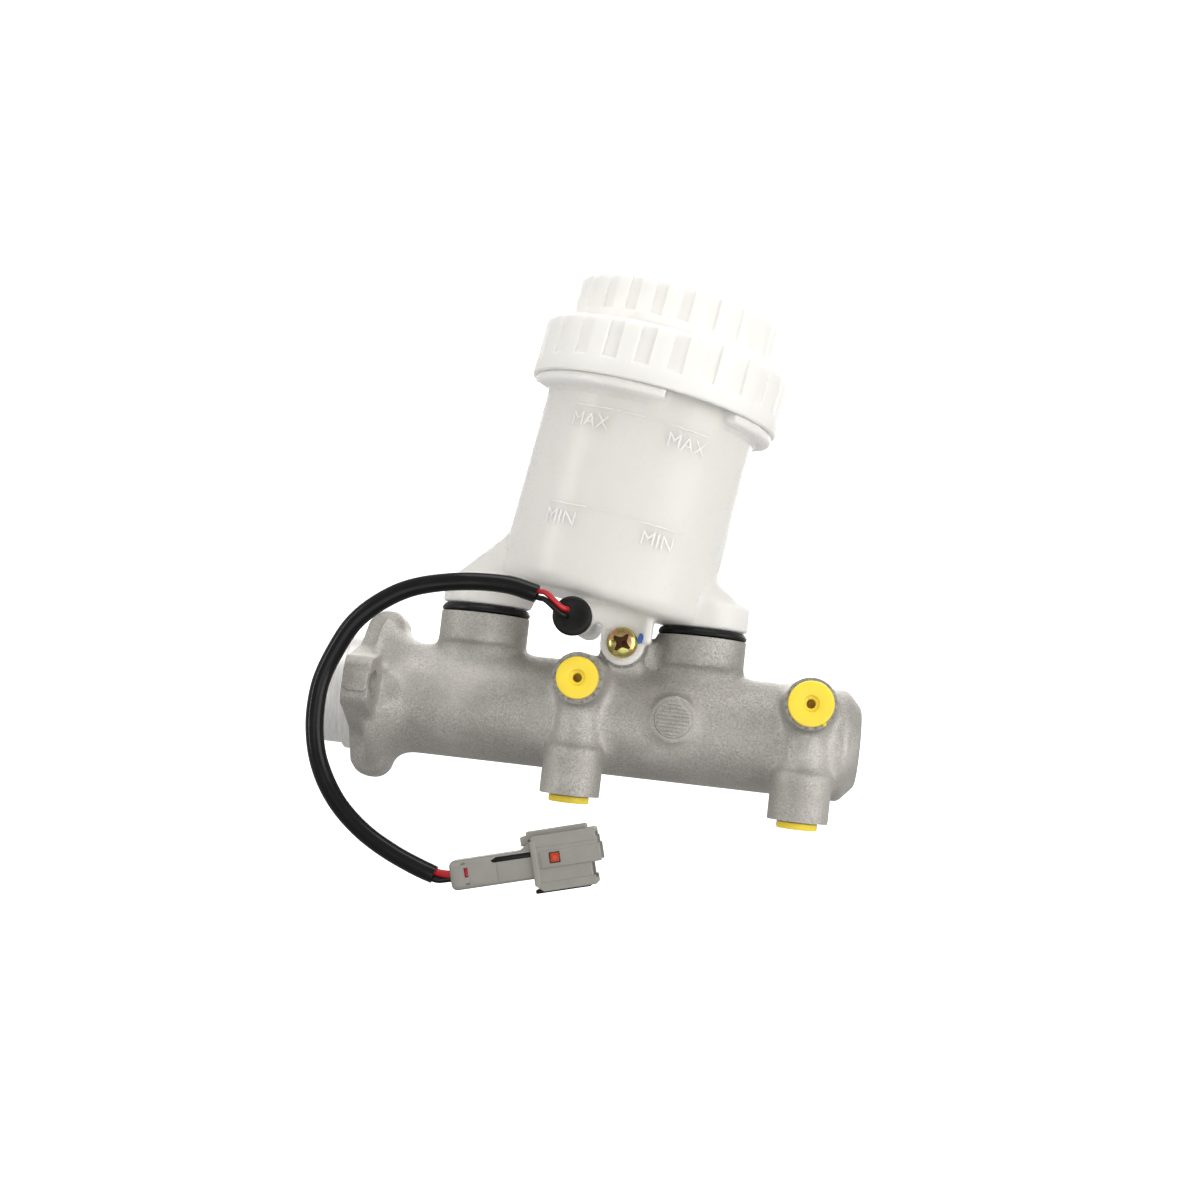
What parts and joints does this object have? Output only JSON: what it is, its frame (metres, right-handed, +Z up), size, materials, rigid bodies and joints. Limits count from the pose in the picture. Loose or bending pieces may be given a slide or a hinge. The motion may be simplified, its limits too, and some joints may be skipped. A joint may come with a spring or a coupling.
{
  "type": "brake master cylinder",
  "caption": "Tandem brake master cylinder: flanged cast cylinder, leaning translucent fluid reservoir with screw cap, plugged outlet ports, float level sensor and pigtail lead.",
  "frame": {"origin": "centre of the flange's mounting face, on the bore's axis", "axes": "+X along the bore towards the closed nose, +Z up as mounted, -Y the side the outlet ports face"},
  "size_m": [0.1815, 0.0922, 0.2077],
  "materials": {
    "cast_aluminium": "sand-cast, fine grain",
    "turned_aluminium": "turned and anodised",
    "spring_steel": "plain",
    "zinc_gold": "yellow passivated zinc plating on steel",
    "black_rubber": "satin",
    "milky_plastic": "translucent, moulded",
    "white_plastic": "opaque, moulded",
    "yellow_plastic": "moulded",
    "black_sleeve": "satin vinyl tube",
    "red_wire": "vinyl insulation",
    "grey_plastic": "moulded",
    "orange_plastic": "moulded",
    "terminal_brass": "plain",
    "float_foam": "closed-cell foam",
    "magnet": "ferrite"
  },
  "bodies": {
    "root": {"cylinder_body": "cast_aluminium", "stop_washer": "spring_steel", "snap_ring": "spring_steel", "secondary_spring": "spring_steel", "secondary_stop_pin": "spring_steel", "rear_grommet": "black_rubber", "front_grommet": "black_rubber", "reservoir": "milky_plastic", "reservoir_screw": "zinc_gold", "reed_switch": "white_plastic", "sensor_boot": "black_rubber", "harness_sleeve": "black_sleeve", "red_wire_at_sensor": "red_wire", "black_wire_at_sensor": "black_sleeve", "red_wire_at_connector": "red_wire", "black_wire_at_connector": "black_sleeve", "connector_housing": "grey_plastic", "connector_lock": "orange_plastic", "upper_terminal": "terminal_brass", "lower_terminal": "terminal_brass", "upper_wire_seal": "red_wire", "lower_wire_seal": "black_rubber", "primary_side_flare_seat": "terminal_brass", "primary_down_flare_seat": "terminal_brass", "secondary_side_flare_seat": "terminal_brass", "secondary_down_flare_seat": "terminal_brass"},
    "primary_piston": {"primary_piston": "turned_aluminium", "primary_rear_seal": "black_rubber", "primary_cup": "black_rubber", "spring_guide_screw": "spring_steel", "primary_spring": "spring_steel"},
    "secondary_piston": {"secondary_piston": "turned_aluminium", "secondary_rear_cup": "black_rubber", "secondary_front_cup": "black_rubber", "spring_retainer": "spring_steel"},
    "float": {"float": "float_foam", "float_magnet": "magnet"},
    "cap_seal": {"cap_seal": "black_rubber"},
    "cap": {"cap": "white_plastic"},
    "primary_side_port_plug": {"primary_side_port_plug": "yellow_plastic"},
    "primary_down_port_plug": {"primary_down_port_plug": "yellow_plastic"},
    "secondary_side_port_plug": {"secondary_side_port_plug": "yellow_plastic"},
    "secondary_down_port_plug": {"secondary_down_port_plug": "yellow_plastic"}
  },
  "joints": [
    {"name": "primary_stroke", "type": "slide", "parent": "root", "child": "primary_piston", "axis": [1, 0, 0], "range_m": [0, 0.028], "stiffness_N_per_m": 400, "springref_m": -0.01, "deforming": ["primary_spring"]},
    {"name": "secondary_stroke", "type": "slide", "parent": "root", "child": "secondary_piston", "axis": [1, 0, 0], "range_m": [0, 0.014], "deforming": ["secondary_spring"]},
    {"name": "float_travel", "type": "slide", "parent": "root", "child": "float", "axis": [0.1521, 0, 0.9884], "range_m": [0, 0.028]},
    {"name": "cap_lift", "type": "slide", "parent": "root", "child": "cap_seal", "axis": [0.1521, 0, 0.9884], "range_m": [0, 0.045]},
    {"name": "cap_turn", "type": "hinge", "parent": "cap_seal", "child": "cap", "pos_m": [0.0768, 0, 0.033], "axis": [0.1521, 0, 0.9884], "range_deg": [0, 60]},
    {"name": "primary_side_plug_pull", "type": "slide", "parent": "root", "child": "primary_side_port_plug", "axis": [0, -1, 0], "range_m": [0, 0.012]},
    {"name": "primary_down_plug_pull", "type": "slide", "parent": "root", "child": "primary_down_port_plug", "axis": [0, 0, -1], "range_m": [0, 0.012]},
    {"name": "secondary_side_plug_pull", "type": "slide", "parent": "root", "child": "secondary_side_port_plug", "axis": [0, -1, 0], "range_m": [0, 0.012]},
    {"name": "secondary_down_plug_pull", "type": "slide", "parent": "root", "child": "secondary_down_port_plug", "axis": [0, 0, -1], "range_m": [0, 0.012]}
  ],
  "couplings": [
    {"joint": "secondary_stroke", "follows": "primary_stroke", "ratio": 0.5}
  ]
}
